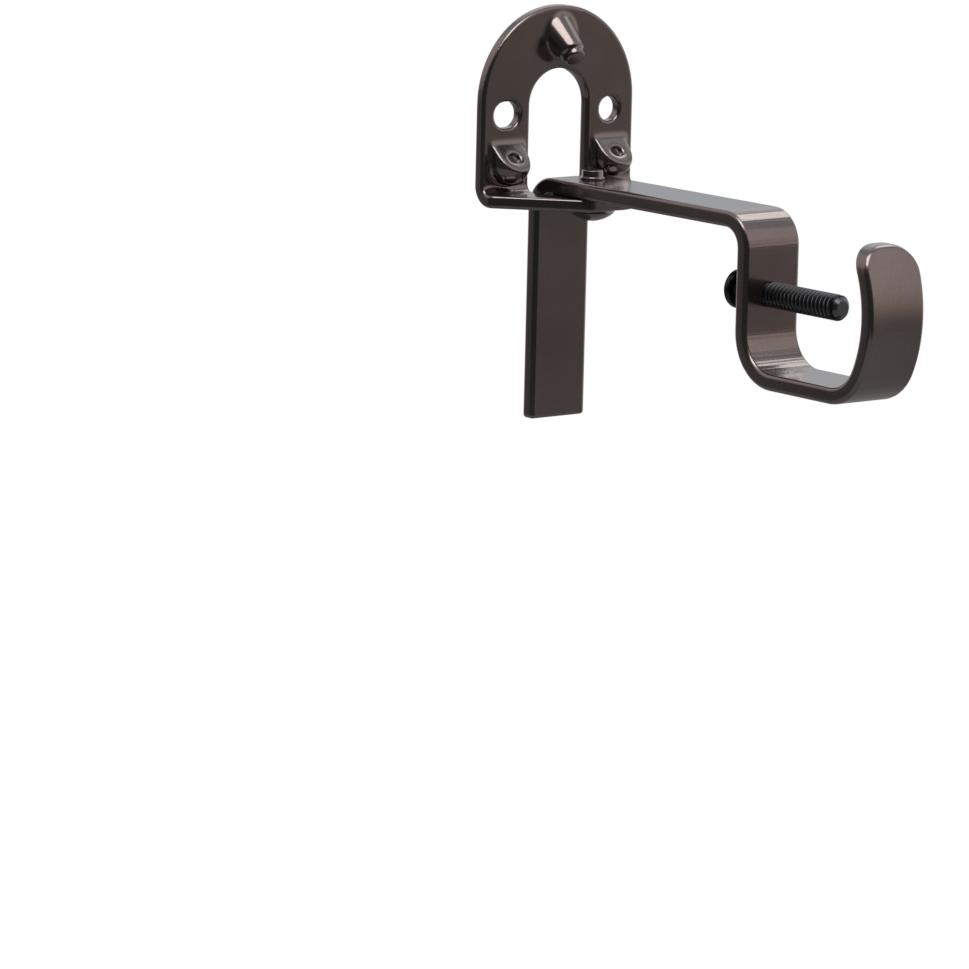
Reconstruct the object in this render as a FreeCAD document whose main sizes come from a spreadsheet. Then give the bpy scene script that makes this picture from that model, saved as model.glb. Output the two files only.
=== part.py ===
import FreeCAD, Part
import math
import os
import re
import Sketcher

# Curtain pole bracket: a pressed wall plate with a folded tongue, a bent flat bar
# that hangs behind the tongue, carries the pole in a hook and is riveted on,
# and a clamp screw through the hook's back leg.
# Frame: the wall is the plane y = 0, the bracket stands out along -Y, Z is up and the
# origin lies on the wall, halfway between the two screw holes. Sizes in millimetres.

SIZES = [
    ("plate_width", 45.0, "width of the wall plate"),
    ("sheet_thick", 3.0, "thickness of the pressed sheet"),
    ("arch_rise", 2.8, "centre of the rounded top above the screw holes"),
    ("slot_side_gap", 0.6, "gap between the bar and each side of the slot"),
    ("slot_end_gap", 0.3, "gap between the bar's rear bend and the slot's front end"),
    ("slot_rise", 1.7, "centre of the slot's rounded top above the screw holes"),
    ("shelf_drop", 18.3, "top face of the tongue below the screw holes"),
    ("fold_inner", 2.0, "inside radius of the fold under the plate"),
    ("tongue_reach", 23.4, "front end of the tongue from the wall"),
    ("tongue_shoulder", 6.2, "where the tongue starts to narrow, from the wall"),
    ("tongue_nose", 13.0, "width of the tongue's front end between its corners"),
    ("nose_round", 5.0, "radius of the tongue's front corners"),
    ("sheet_edge", 0.4, "break of the sheet's edges"),
    ("hole_offset", 0.25, "screw hole inwards from the middle of the sheet beside the slot"),
    ("hole_bore", 5.8, "bore of the round screw hole"),
    ("long_hole_bore", 6.2, "height of the screw hole that is stretched sideways"),
    ("hole_stretch", 1.3, "extra width of the other screw hole"),
    ("lug_offset", 0.2, "lug inwards from the middle of the sheet beside the slot"),
    ("lug_drop", 6.45, "top crease of a lug below the screw holes"),
    ("lug_radius", 4.65, "half width of a lug"),
    ("lug_stand", 1.8, "axis of a lug's round front, from the plate's face"),
    ("lug_tilt", 44.0, "slope of a lug's upper face below level, in degrees"),
    ("lug_brow", 5.0, "straight sides of a lug, down from the crease"),
    ("lug_wall", 1.4, "wall of a lug"),
    ("nail_bore", 2.9, "bore of a lug's nail hole"),
    ("nail_reach", 4.6, "nail hole from the crease, along the slope"),
    ("boss_rise", 18.8, "middle of the boss root above the screw holes"),
    ("boss_half_width", 4.5, "half width of the boss at its root"),
    ("boss_half_height", 5.2, "half height of the boss at its root"),
    ("boss_tilt", 44.0, "how far the boss points below level, in degrees"),
    ("boss_length", 6.3, "length of the boss along its axis"),
    ("boss_end", 3.1, "radius of the boss at its end"),
    ("boss_wall", 1.9, "wall of the boss at its root"),
    ("boss_bite", 0.6, "how far the boss starts inside the sheet"),
    ("hollow_drop", 1.8, "hollow behind the boss, below the middle of its root"),
    ("hollow_depth", 5.0, "depth of the hollow behind the boss, from the wall"),
    ("nub_radius", 2.5, "radius of the nub on the boss"),
    ("nub_length", 1.9, "length of the nub on the boss"),
    ("strip_width", 16.0, "width of the flat bar"),
    ("strip_thick", 3.8, "thickness of the flat bar"),
    ("strip_bend", 4.5, "inside radius of the bar's two upper bends"),
    ("strip_edge", 0.6, "break of the bar's edges"),
    ("leg_standoff", 1.8, "gap between the wall and the bar's hanging leg"),
    ("leg_length", 54.2, "end of the hanging leg below the tongue's top face"),
    ("arm_reach", 82.4, "inner face of the hook's back leg from the wall"),
    ("hook_depth", 31.5, "hook's inner floor below the tongue's top face"),
    ("hook_gap", 39.2, "widest inner gap of the hook"),
    ("hook_corner", 8.5, "inside radius of the hook's two lower corners"),
    ("curl_radius", 27.5, "inside radius of the hook's front leg"),
    ("hook_tip", 1.2, "top of the hook's front leg above the tongue's top face"),
    ("tip_round", 6.5, "radius of the corners at the hook's tip"),
    ("rivet_reach", 16.2, "rivet from the wall"),
    ("rivet_bore", 4.8, "bore of the rivet hole"),
    ("rivet_clear", 0.1, "gap round the rivet's shank"),
    ("rivet_head_radius", 5.4, "radius of the rivet's domed head"),
    ("rivet_head_height", 3.0, "height of the rivet's domed head"),
    ("rivet_rim", 0.8, "straight rim of the rivet's domed head"),
    ("collar_radius", 2.9, "radius of the rivet's collar on the bar"),
    ("collar_height", 0.6, "height of the rivet's collar"),
    ("tail_radius", 2.5, "radius of the rivet's tail above the collar"),
    ("tail_height", 1.6, "height of the rivet's tail above the collar"),
    ("screw_drop", 15.0, "axis of the clamp screw below the tongue's top face"),
    ("screw_radius", 3.0, "radius of the clamp screw over its thread"),
    ("screw_clear", 0.08, "running gap round the clamp screw"),
    ("screw_length", 34.4, "length of the clamp screw under its head"),
    ("screw_backed", 6.2, "gap between the screw's head and the bar, as shown"),
    ("screw_tip", 1.2, "chamfer at the screw's end"),
    ("head_radius", 4.6, "radius of the clamp screw's head"),
    ("head_rim", 1.8, "straight rim of the clamp screw's head"),
    ("head_dome", 1.3, "dome of the clamp screw's head"),
    ("drive_width", 1.1, "width of the screwdriver slot"),
    ("drive_depth", 1.2, "depth of the screwdriver slot"),
]


def make_sheet(doc):
    """The driving dimensions, one named cell each."""
    sheet = doc.addObject("Spreadsheet::Sheet", "Dims")
    for row, (alias, value, note) in enumerate(SIZES, start=1):
        sheet.set("A%d" % row, note)
        sheet.set("B%d" % row, str(value))
        sheet.setAlias("B%d" % row, alias)
    doc.recompute()


def formula(text):
    """Spell a sum of dimension names as the sheet's cells."""
    return re.sub(r"\b[a-z]+(_[a-z]+)+\b", r"Dims.\g<0>", text)


def value(item, text):
    """Number that a sum of dimension names gives."""
    return float(item.evalExpression(formula(text)))


def new_body(doc, label):
    body = doc.addObject("PartDesign::Body", label)
    body.Label = label
    return body


def origin_plane(body, role):
    return next(plane for plane in body.Origin.OriginFeatures if plane.Role == role)


def sketch_on(body, role, name, shift=None, turn=None):
    """Sketch on one of the body's own origin planes, shifted by named formulas in the
    plane's own axes and turned about its first axis."""
    sketch = body.newObject("Sketcher::SketchObject", name)
    sketch.AttachmentSupport = [(origin_plane(body, role), "")]
    sketch.MapMode = "FlatFace"
    if turn:
        about_first = FreeCAD.Rotation(FreeCAD.Vector(1, 0, 0), value(sketch, turn))
        sketch.AttachmentOffset = FreeCAD.Placement(FreeCAD.Vector(), about_first)
        sketch.setExpression("AttachmentOffset.Rotation.Angle", formula(turn))
    for axis, text in (shift or {}).items():
        sketch.setExpression("AttachmentOffset.Base." + axis, formula(text))
    return sketch


def spot(sketch, across, up):
    return FreeCAD.Vector(value(sketch, across), value(sketch, up), 0)


def hold(sketch, kind, geometry, position, text):
    """Tie one coordinate of a point, DistanceX or DistanceY, to a formula."""
    number = value(sketch, text)
    axis = -2 if kind == "DistanceX" else -1
    if abs(number) < 1e-9:
        sketch.addConstraint(Sketcher.Constraint("PointOnObject", geometry, position, axis))
        return
    if number > 0:
        index = sketch.addConstraint(
            Sketcher.Constraint(kind, -1, 1, geometry, position, number))
        sketch.setExpression("Constraints[%d]" % index, formula(text))
    else:
        index = sketch.addConstraint(
            Sketcher.Constraint(kind, geometry, position, -1, 1, -number))
        sketch.setExpression("Constraints[%d]" % index, "-(" + formula(text) + ")")


def hold_radius(sketch, edge, text):
    index = sketch.addConstraint(Sketcher.Constraint("Radius", edge, value(sketch, text)))
    sketch.setExpression("Constraints[%d]" % index, formula(text))


def add_line(sketch, first, last):
    return sketch.addGeometry(Part.LineSegment(first, last), False), 1, 2


def add_arc(sketch, centre, first, last, way):
    """Arc about a centre, way +1 anticlockwise or -1 clockwise. Gives the edge and the
    numbers of its first and last point."""
    circle = Part.Circle(centre, FreeCAD.Vector(0, 0, 1), (first - centre).Length)
    begin, end = (first, last) if way > 0 else (last, first)
    arc = Part.ArcOfCircle(circle, circle.parameter(begin), circle.parameter(end))
    edge = sketch.addGeometry(arc, False)
    return (edge, 1, 2) if way > 0 else (edge, 2, 1)


def outline(sketch, corners):
    """Closed outline through corners (across, up). A corner with a third entry
    (centre across, centre up, way) starts an arc instead of a line."""
    points = [spot(sketch, corner[0], corner[1]) for corner in corners]
    edges = []
    for index, corner in enumerate(corners):
        first = points[index]
        last = points[(index + 1) % len(points)]
        if len(corner) == 2:
            edges.append(add_line(sketch, first, last))
        else:
            centre = spot(sketch, corner[2][0], corner[2][1])
            edges.append(add_arc(sketch, centre, first, last, corner[2][2]))
    for index, corner in enumerate(corners):
        edge, start, _ = edges[index]
        before, _, finish = edges[index - 1]
        sketch.addConstraint(Sketcher.Constraint("Coincident", before, finish, edge, start))
        hold(sketch, "DistanceX", edge, start, corner[0])
        hold(sketch, "DistanceY", edge, start, corner[1])
        if len(corner) == 3:
            chord = points[(index + 1) % len(points)] - points[index]
            if abs(chord.x) >= abs(chord.y):
                hold(sketch, "DistanceY", edge, 3, corner[2][1])
            else:
                hold(sketch, "DistanceX", edge, 3, corner[2][0])


def ring(sketch, across, up, radius):
    """Circle of a named radius about a point."""
    circle = Part.Circle(spot(sketch, across, up), FreeCAD.Vector(0, 0, 1), value(sketch, radius))
    edge = sketch.addGeometry(circle, False)
    hold_radius(sketch, edge, radius)
    hold(sketch, "DistanceX", edge, 3, across)
    hold(sketch, "DistanceY", edge, 3, up)


def oval(sketch, up, half_width, half_height):
    """Upright ellipse on the sketch's vertical axis."""
    top = spot(sketch, "0", "%s + %s" % (up, half_height))
    side = spot(sketch, half_width, up)
    middle = spot(sketch, "0", up)
    edge = sketch.addGeometry(Part.Ellipse(top, side, middle), False)
    sketch.exposeInternalGeometry(edge)
    major, minor = edge + 1, edge + 2
    hold(sketch, "DistanceX", edge, 3, "0")
    hold(sketch, "DistanceY", edge, 3, up)
    sketch.addConstraint(Sketcher.Constraint("Vertical", major))
    for line, text in ((major, half_height), (minor, half_width)):
        length = "2 * (%s)" % text
        index = sketch.addConstraint(Sketcher.Constraint("Distance", line, value(sketch, length)))
        sketch.setExpression("Constraints[%d]" % index, formula(length))


def feature(body, kind, name, sketch, **settings):
    """One step of a body. Texts are formulas, other settings are set as they are."""
    step = body.newObject("PartDesign::" + kind, name)
    step.Profile = sketch
    for key, setting in settings.items():
        if isinstance(setting, str):
            step.setExpression(key, formula(setting))
        else:
            setattr(step, key, setting)
    body.Document.recompute()
    return step


def sharp_edges(shape, least=30):
    """Names of the edges where two faces meet at more than a few degrees."""
    names = []
    for number, edge in enumerate(shape.Edges, start=1):
        faces = shape.ancestorsOfType(edge, Part.Face)
        if len(faces) != 2:
            continue
        middle = edge.valueAt((edge.FirstParameter + edge.LastParameter) / 2)
        sides = [face.normalAt(*face.Surface.parameter(middle)) for face in faces]
        if math.degrees(sides[0].getAngle(sides[1])) > least:
            names.append("Edge%d" % number)
    return names


def break_edges(body, name, base, names, size):
    """Even 45 degree break along edges."""
    step = body.newObject("PartDesign::Chamfer", name)
    step.Base = (base, names)
    step.setExpression("Size", formula(size))
    body.Document.recompute()
    return step


# Wall plate

SLOT_HALF = "(strip_width / 2 + slot_side_gap)"
# Middle of the sheet that is left on each side of the slot.
SIDE_MIDDLE = "((plate_width / 2 + strip_width / 2 + slot_side_gap) / 2)"
HOLE_PLACE = SIDE_MIDDLE + " - hole_offset"
LUG_PLACE = SIDE_MIDDLE + " - lug_offset"


def fold_section(body):
    """Side view of the sheet: the upright plate, the fold and the level tongue."""
    sketch = sketch_on(body, "YZ_Plane", "fold_section")
    centre = ("-(fold_inner + sheet_thick)", "-shelf_drop + fold_inner")
    outline(sketch, [
        ("0", "arch_rise + plate_width / 2"),
        ("-sheet_thick", "arch_rise + plate_width / 2"),
        ("-sheet_thick", centre[1], (*centre, -1)),
        (centre[0], "-shelf_drop"),
        ("-tongue_reach", "-shelf_drop"),
        ("-tongue_reach", "-shelf_drop - sheet_thick"),
        (centre[0], "-shelf_drop - sheet_thick", (*centre, 1)),
        ("0", centre[1]),
    ])
    return feature(body, "Pad", "sheet", sketch, Midplane=True, Length="plate_width")


def trim_arch(body):
    """The plate's top is a half circle as wide as the plate."""
    sketch = sketch_on(body, "XZ_Plane", "arch_outline")
    side = "plate_width / 2"
    out = "plate_width / 2 + sheet_thick"
    top = "arch_rise + plate_width / 2 + sheet_thick"
    outline(sketch, [
        ("-(" + side + ")", "arch_rise", ("0", "arch_rise", -1)),
        (side, "arch_rise"),
        (out, "arch_rise"),
        (out, top),
        ("-(" + out + ")", top),
        ("-(" + out + ")", "arch_rise"),
    ])
    feature(body, "Pocket", "arch_trim", sketch, Reversed=True, Length="2 * sheet_thick")


def trim_tongue(body):
    """The tongue narrows from the full width to its rounded front end."""
    sketch = sketch_on(body, "XY_Plane", "tongue_outline")
    out = "plate_width / 2 + sheet_thick"
    fore = "-tongue_reach - sheet_thick"
    run = "(plate_width - tongue_nose) / 2"
    fall = "(tongue_reach - tongue_shoulder)"
    slant = "sqrt(%s * %s + %s * %s)" % (run, run, fall, fall)
    # Each front corner is an arc tangent to the slanted side and to the front edge.
    back = "nose_round * (%s - %s) / %s" % (slant, run, fall)
    nose = "tongue_nose / 2 - %s" % back
    touch_across = "tongue_nose / 2 + %s * %s / %s" % (back, run, slant)
    touch_up = "-tongue_reach + %s * %s / %s" % (back, fall, slant)
    centre_up = "-tongue_reach + nose_round"
    outline(sketch, [
        ("plate_width / 2", "-tongue_shoulder"),
        (touch_across, touch_up, (nose, centre_up, -1)),
        (nose, "-tongue_reach"),
        ("-(" + nose + ")", "-tongue_reach", ("-(" + nose + ")", centre_up, -1)),
        ("-(" + touch_across + ")", touch_up),
        ("-plate_width / 2", "-tongue_shoulder"),
        ("-(" + out + ")", "-tongue_shoulder"),
        ("-(" + out + ")", fore),
        (out, fore),
        (out, "-tongue_shoulder"),
    ])
    feature(body, "Pocket", "tongue_trim", sketch, Length="shelf_drop + 2 * sheet_thick")


def cut_slot(body):
    """Arched slot that runs down through the fold, where the bar's leg passes."""
    sketch = sketch_on(body, "XZ_Plane", "slot_outline")
    reach = "leg_standoff + strip_thick + strip_bend + slot_end_gap"
    foot = "-shelf_drop - 2 * sheet_thick"
    outline(sketch, [
        (SLOT_HALF, "slot_rise", ("0", "slot_rise", 1)),
        ("-" + SLOT_HALF, "slot_rise"),
        ("-" + SLOT_HALF, foot),
        (SLOT_HALF, foot),
    ])
    feature(body, "Pocket", "slot", sketch, Reversed=True, Length=reach)


def cut_screw_holes(body):
    """A round hole on the right and a hole stretched sideways on the left."""
    sketch = sketch_on(body, "XZ_Plane", "screw_holes")
    ring(sketch, HOLE_PLACE, "0", "hole_bore / 2")
    near = "-(%s) + hole_stretch / 2" % HOLE_PLACE
    far = "-(%s) - hole_stretch / 2" % HOLE_PLACE
    outline(sketch, [
        (near, "-long_hole_bore / 2", (near, "0", 1)),
        (near, "long_hole_bore / 2"),
        (far, "long_hole_bore / 2", (far, "0", 1)),
        (far, "-long_hole_bore / 2"),
    ])
    feature(body, "Pocket", "holes", sketch, Reversed=True, Length="2 * sheet_thick")


def cut_rivet_hole(body, name, depth):
    sketch = sketch_on(body, "XY_Plane", name, {"z": "-shelf_drop + strip_thick + sheet_thick"})
    ring(sketch, "0", "-rivet_reach", "rivet_bore / 2")
    feature(body, "Pocket", name + "_cut", sketch, Length=depth)


def press_lugs(body):
    """Two hoods pressed out of the plate, each with a sloping upper face that a nail
    passes through. The right one is built and mirrored."""
    slope = "tan(lug_tilt)"
    brow = "-lug_drop - lug_brow"
    stand = "(sheet_thick + lug_stand)"
    left = LUG_PLACE + " - lug_radius"
    right = LUG_PLACE + " + lug_radius"
    root = sketch_on(body, "XZ_Plane", "lug_root_outline")
    outline(root, [
        (right, "-lug_drop"),
        (left, "-lug_drop"),
        (left, brow, (LUG_PLACE, brow, 1)),
        (right, brow),
    ])
    steps = [feature(body, "Pad", "lug_root", root, Length=stand)]
    hood = sketch_on(body, "YZ_Plane", "lug_profile", {"z": LUG_PLACE, "x": "-" + stand})
    outline(hood, [
        ("0", "-lug_drop"),
        ("-lug_radius", "-lug_drop"),
        ("-lug_radius", brow, ("0", brow, 1)),
        ("0", brow + " - lug_radius"),
    ])
    steps.append(feature(body, "Revolution", "lug", hood, ReferenceAxis=(hood, ["V_Axis"]),
                         Angle=180, Midplane=True))
    place = {"z": LUG_PLACE, "x": "-sheet_thick"}
    reach = "(lug_stand + lug_radius + sheet_thick)"
    above = sketch_on(body, "YZ_Plane", "lug_slope", place)
    outline(above, [
        ("0", "-lug_drop"),
        ("-" + reach, "-lug_drop - %s * %s" % (reach, slope)),
        ("-" + reach, "-lug_drop + sheet_thick"),
        ("0", "-lug_drop + sheet_thick"),
    ])
    steps.append(feature(body, "Pocket", "lug_face", above, Midplane=True, Length="2 * " + reach))
    # The hollow's roof runs parallel to the sloping face, and its floor leaves the nail's
    # way to the wall free.
    nail_out = "(nail_reach * cos(lug_tilt) + sheet_thick)"
    nail_up = "-lug_drop - nail_reach * sin(lug_tilt)"
    front = "(lug_stand + lug_radius - 2 * lug_wall)"
    roof = "-lug_drop - lug_wall / cos(lug_tilt)"
    hollow = sketch_on(body, "YZ_Plane", "lug_hollow_profile", place)
    outline(hollow, [
        ("sheet_thick", "%s + sheet_thick * %s" % (roof, slope)),
        ("-" + front, "%s - %s * %s" % (roof, front, slope)),
        ("sheet_thick", "%s - %s / %s - nail_bore / 2 / sin(lug_tilt)" % (nail_up, nail_out, slope)),
    ])
    steps.append(feature(body, "Pocket", "lug_hollow", hollow, Midplane=True,
                         Length="2 * (lug_radius - 2 * lug_wall)"))
    on_slope = {"x": LUG_PLACE, "y": "-" + nail_out, "z": nail_up}
    nail = sketch_on(body, "XY_Plane", "nail_hole_outline", on_slope, turn="lug_tilt")
    ring(nail, "0", "0", "nail_bore / 2")
    steps.append(feature(body, "Pocket", "nail_hole", nail, Length="2 * lug_wall"))
    pair = body.newObject("PartDesign::Mirrored", "lug_pair")
    pair.Originals = steps
    pair.MirrorPlane = (origin_plane(body, "YZ_Plane"), [""])
    body.Tip = pair
    body.Document.recompute()


def press_boss(body):
    """Tapered boss that points forward and down, hollow behind, with a nub at its end."""
    def ahead(length):
        """Place on the boss axis, in the axes of the wall's own plane."""
        return {
            "y": "boss_rise - (%s) * sin(boss_tilt)" % length,
            "z": "sheet_thick + (%s) * cos(boss_tilt)" % length,
        }
    root = sketch_on(body, "XZ_Plane", "boss_root", {"z": "sheet_thick - boss_bite"})
    oval(root, "boss_rise", "boss_half_width", "boss_half_height")
    end = sketch_on(body, "XZ_Plane", "boss_end_outline", ahead("boss_length"), turn="boss_tilt")
    ring(end, "0", "0", "boss_end")
    feature(body, "AdditiveLoft", "boss", root, Sections=[end])
    tip = sketch_on(body, "XZ_Plane", "nub_outline", ahead("boss_length"), turn="boss_tilt")
    ring(tip, "0", "0", "nub_radius")
    feature(body, "Pad", "nub", tip, Length="nub_length")
    behind = sketch_on(body, "XZ_Plane", "hollow_outline")
    ring(behind, "0", "boss_rise - hollow_drop", "boss_half_width - boss_wall")
    feature(body, "Pocket", "boss_hollow", behind, Reversed=True, Length="hollow_depth")


def make_wall_plate(doc):
    body = new_body(doc, "wall_plate")
    fold_section(body)
    trim_arch(body)
    trim_tongue(body)
    cut_slot(body)
    cut_screw_holes(body)
    cut_rivet_hole(body, "rivet_hole", "2 * strip_thick + 3 * sheet_thick")
    flat = body.Tip
    break_edges(body, "sheet_edges", flat, sharp_edges(flat.Shape), "sheet_edge")
    press_lugs(body)
    press_boss(body)
    return body


# Hook bar

def bar_side(sketch, start, bend, corner, curl, tip):
    """One long side of the bent bar, from the end of the hanging leg to the hook's tip:
    lines and arcs that run into each other."""
    level = "-shelf_drop - strip_bend"
    floor = "-shelf_drop - hook_depth + hook_corner"
    curl_across = "-(arm_reach + hook_gap - curl_radius)"
    rear = spot(sketch, "-(leg_standoff + strip_thick + strip_bend)", level)
    front = spot(sketch, "-(arm_reach - strip_thick - strip_bend)", level)
    back_corner = spot(sketch, "-(arm_reach + hook_corner)", floor)
    loop = spot(sketch, curl_across, "-shelf_drop - screw_drop")
    span = value(sketch, "curl_radius - hook_corner")
    drop = loop.y - back_corner.y
    fore_corner = FreeCAD.Vector(loop.x - math.sqrt(span * span - drop * drop), back_corner.y, 0)
    slant = (fore_corner - loop).normalize()
    bend_radius = value(sketch, bend)
    corner_radius = value(sketch, corner)
    curl_size = value(sketch, curl)
    tip_up = value(sketch, tip)
    tip_across = loop.x - math.sqrt(curl_size ** 2 - (tip_up - loop.y) ** 2)
    foot = spot(sketch, start, "-shelf_drop - leg_length")
    right = FreeCAD.Vector(1, 0, 0)
    above = FreeCAD.Vector(0, 1, 0)
    turns = [
        (rear, rear + right * bend_radius, rear + above * bend_radius, 1),
        (front, front + above * bend_radius, front - right * bend_radius, 1),
        (back_corner, back_corner + right * corner_radius, back_corner - above * corner_radius, -1),
        (fore_corner, fore_corner - above * corner_radius, fore_corner + slant * corner_radius, -1),
    ]
    chain = []
    place = foot
    for centre, first, last, way in turns:
        chain.append(add_line(sketch, place, first))
        chain.append(add_arc(sketch, centre, first, last, way))
        place = last
    chain.append(add_arc(sketch, loop, place, FreeCAD.Vector(tip_across, tip_up, 0), -1))
    for (one, _, finish), (two, begin, _) in zip(chain, chain[1:]):
        sketch.addConstraint(Sketcher.Constraint("Tangent", one, finish, two, begin))
    arcs = [chain[1][0], chain[3][0], chain[5][0], chain[7][0], chain[8][0]]
    centres = [
        ("-(leg_standoff + strip_thick + strip_bend)", level),
        ("-(arm_reach - strip_thick - strip_bend)", level),
        ("-(arm_reach + hook_corner)", floor),
        (None, floor),
        (curl_across, "-shelf_drop - screw_drop"),
    ]
    radii = [bend, bend, corner, corner, curl]
    for arc, (across, up), radius in zip(arcs, centres, radii):
        if across:
            hold(sketch, "DistanceX", arc, 3, across)
        hold(sketch, "DistanceY", arc, 3, up)
        hold_radius(sketch, arc, radius)
    hold(sketch, "DistanceX", chain[0][0], 1, start)
    hold(sketch, "DistanceY", chain[0][0], 1, "-shelf_drop - leg_length")
    hold(sketch, "DistanceY", chain[8][0], chain[8][2], tip)
    return (chain[0][0], 1, foot), (chain[8][0], chain[8][2], FreeCAD.Vector(tip_across, tip_up, 0))


def join(sketch, one, two):
    """Line between the free ends of two chains."""
    edge, start, finish = add_line(sketch, one[2], two[2])
    sketch.addConstraint(Sketcher.Constraint("Coincident", edge, start, one[0], one[1]))
    sketch.addConstraint(Sketcher.Constraint("Coincident", edge, finish, two[0], two[1]))


def bend_bar(body):
    """The bar's side view, padded to its width. It runs on past the hook's tip, where
    the tip's outline then ends it."""
    sketch = sketch_on(body, "YZ_Plane", "bar_side_view")
    outer_end = "-shelf_drop + hook_tip + strip_thick"
    share = "curl_radius / (curl_radius + strip_thick)"
    inner_end = "(hook_tip + 2 * strip_thick + screw_drop) * %s - shelf_drop - screw_drop" % share
    upper = bar_side(sketch, "-leg_standoff", "strip_bend + strip_thick",
                     "hook_corner", "curl_radius", inner_end)
    lower = bar_side(sketch, "-leg_standoff - strip_thick", "strip_bend",
                     "hook_corner + strip_thick", "curl_radius + strip_thick", outer_end)
    join(sketch, upper[0], lower[0])
    join(sketch, upper[1], lower[1])
    return feature(body, "Pad", "bent_bar", sketch, Midplane=True, Length="strip_width")


def round_tip(body):
    """Level end of the hook's tip with large round corners."""
    sketch = sketch_on(body, "XZ_Plane", "tip_outline", {"z": "arm_reach + hook_gap / 2"})
    half = "strip_width / 2"
    flat = "strip_width / 2 - tip_round"
    top = "-shelf_drop + hook_tip"
    low = "%s - tip_round" % top
    out = "strip_width / 2 + strip_thick"
    high = "%s + 3 * strip_thick" % top
    outline(sketch, [
        (half, low, (flat, low, 1)),
        (flat, top),
        ("-(" + flat + ")", top, ("-(" + flat + ")", low, 1)),
        ("-(" + half + ")", low),
        ("-(" + out + ")", low),
        ("-(" + out + ")", high),
        (out, high),
        (out, low),
    ])
    feature(body, "Pocket", "tip_trim", sketch, Reversed=True, Length="hook_gap")


def cut_screw_hole(body):
    """Hole for the clamp screw, through the hook's back leg only."""
    behind = {"z": "arm_reach - 2 * strip_thick"}
    sketch = sketch_on(body, "XZ_Plane", "clamp_hole", behind)
    ring(sketch, "0", "-shelf_drop - screw_drop", "screw_radius + screw_clear")
    feature(body, "Pocket", "clamp_hole_cut", sketch, Reversed=True, Length="3 * strip_thick")


def make_hook_bar(doc):
    body = new_body(doc, "hook_bar")
    bend_bar(body)
    round_tip(body)
    trimmed = body.Tip
    break_edges(body, "bar_edges", trimmed, sharp_edges(trimmed.Shape), "strip_edge")
    cut_screw_hole(body)
    cut_rivet_hole(body, "rivet_hole_in_bar", "2 * strip_thick + 3 * sheet_thick")
    return body


# Rivet

def make_rivet(doc):
    """Domed head under the tongue, shank through both pieces, collar and tail on top."""
    body = new_body(doc, "rivet")
    sketch = sketch_on(body, "YZ_Plane", "rivet_profile", {"x": "-rivet_reach"})
    under = "-shelf_drop - sheet_thick"
    over = "-shelf_drop + strip_thick"
    dome = "(rivet_head_height - rivet_rim)"
    ball = "((rivet_head_radius * rivet_head_radius + %s * %s) / (2 * %s))" % (dome, dome, dome)
    shank = "rivet_bore / 2 - rivet_clear"
    outline(sketch, [
        ("0", under + " - rivet_head_height",
         ("0", "%s - rivet_head_height + %s" % (under, ball), 1)),
        ("rivet_head_radius", under + " - rivet_rim"),
        ("rivet_head_radius", under),
        (shank, under),
        (shank, over),
        ("collar_radius", over),
        ("collar_radius", over + " + collar_height"),
        ("tail_radius", over + " + collar_height"),
        ("tail_radius", over + " + collar_height + tail_height"),
        ("0", over + " + collar_height + tail_height"),
    ])
    feature(body, "Revolution", "rivet_turned", sketch, ReferenceAxis=(sketch, ["V_Axis"]),
            Angle=360)
    return body


# Clamp screw

def make_clamp_screw(doc):
    """Machine screw whose shank points into the hook. Its thread is a plain cylinder of
    the thread's outside size."""
    body = new_body(doc, "clamp_screw")
    axis = {"y": "-shelf_drop - screw_drop"}
    seat = "-(arm_reach - strip_thick - screw_backed)"
    crown = seat + " + head_rim + head_dome"
    ball = "(head_radius * head_radius + head_dome * head_dome) / (2 * head_dome)"
    sketch = sketch_on(body, "YZ_Plane", "screw_profile", axis)
    outline(sketch, [
        (crown, "0"),
        (seat + " - screw_length", "0"),
        (seat + " - screw_length", "screw_radius - screw_tip"),
        (seat + " - screw_length + screw_tip", "screw_radius"),
        (seat, "screw_radius"),
        (seat, "head_radius"),
        (seat + " + head_rim", "head_radius", ("%s - %s" % (crown, ball), "0", -1)),
    ])
    feature(body, "Revolution", "screw_turned", sketch, ReferenceAxis=(sketch, ["H_Axis"]),
            Angle=360)
    slot = sketch_on(body, "YZ_Plane", "drive_slot_outline", axis)
    outline(slot, [
        (crown + " - drive_depth", "-drive_width / 2"),
        (crown + " + drive_depth", "-drive_width / 2"),
        (crown + " + drive_depth", "drive_width / 2"),
        (crown + " - drive_depth", "drive_width / 2"),
    ])
    feature(body, "Pocket", "drive_slot", slot, Midplane=True, Length="3 * head_radius")
    return body


def check(doc, bodies):
    """Every object is up to date and every piece is one valid solid."""
    for item in doc.Objects:
        if "Invalid" in item.State or "Error" in item.State:
            raise RuntimeError("%s is not built: %s" % (item.Name, item.State))
    for body in bodies:
        if body.Shape.isNull() or not body.Shape.isValid():
            raise RuntimeError(body.Label + " has no valid shape")
        if len(body.Shape.Solids) != 1:
            raise RuntimeError(body.Label + " is not one solid")


def main():
    doc = FreeCAD.newDocument("curtain_pole_bracket")
    make_sheet(doc)
    bodies = [make_wall_plate(doc), make_hook_bar(doc), make_rivet(doc), make_clamp_screw(doc)]
    doc.recompute()
    check(doc, bodies)
    os.makedirs("parts", exist_ok=True)
    for body in bodies:
        body.Shape.exportStep("parts/%s.step" % body.Label)
        box = body.Shape.BoundBox
        print("%-12s volume %9.2f  x %7.2f %7.2f  y %8.2f %7.2f  z %7.2f %7.2f" % (
            body.Label, body.Shape.Volume, box.XMin, box.XMax, box.YMin, box.YMax,
            box.ZMin, box.ZMax))


main()
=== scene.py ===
import math

import bpy
from mathutils import Matrix, Vector


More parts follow.
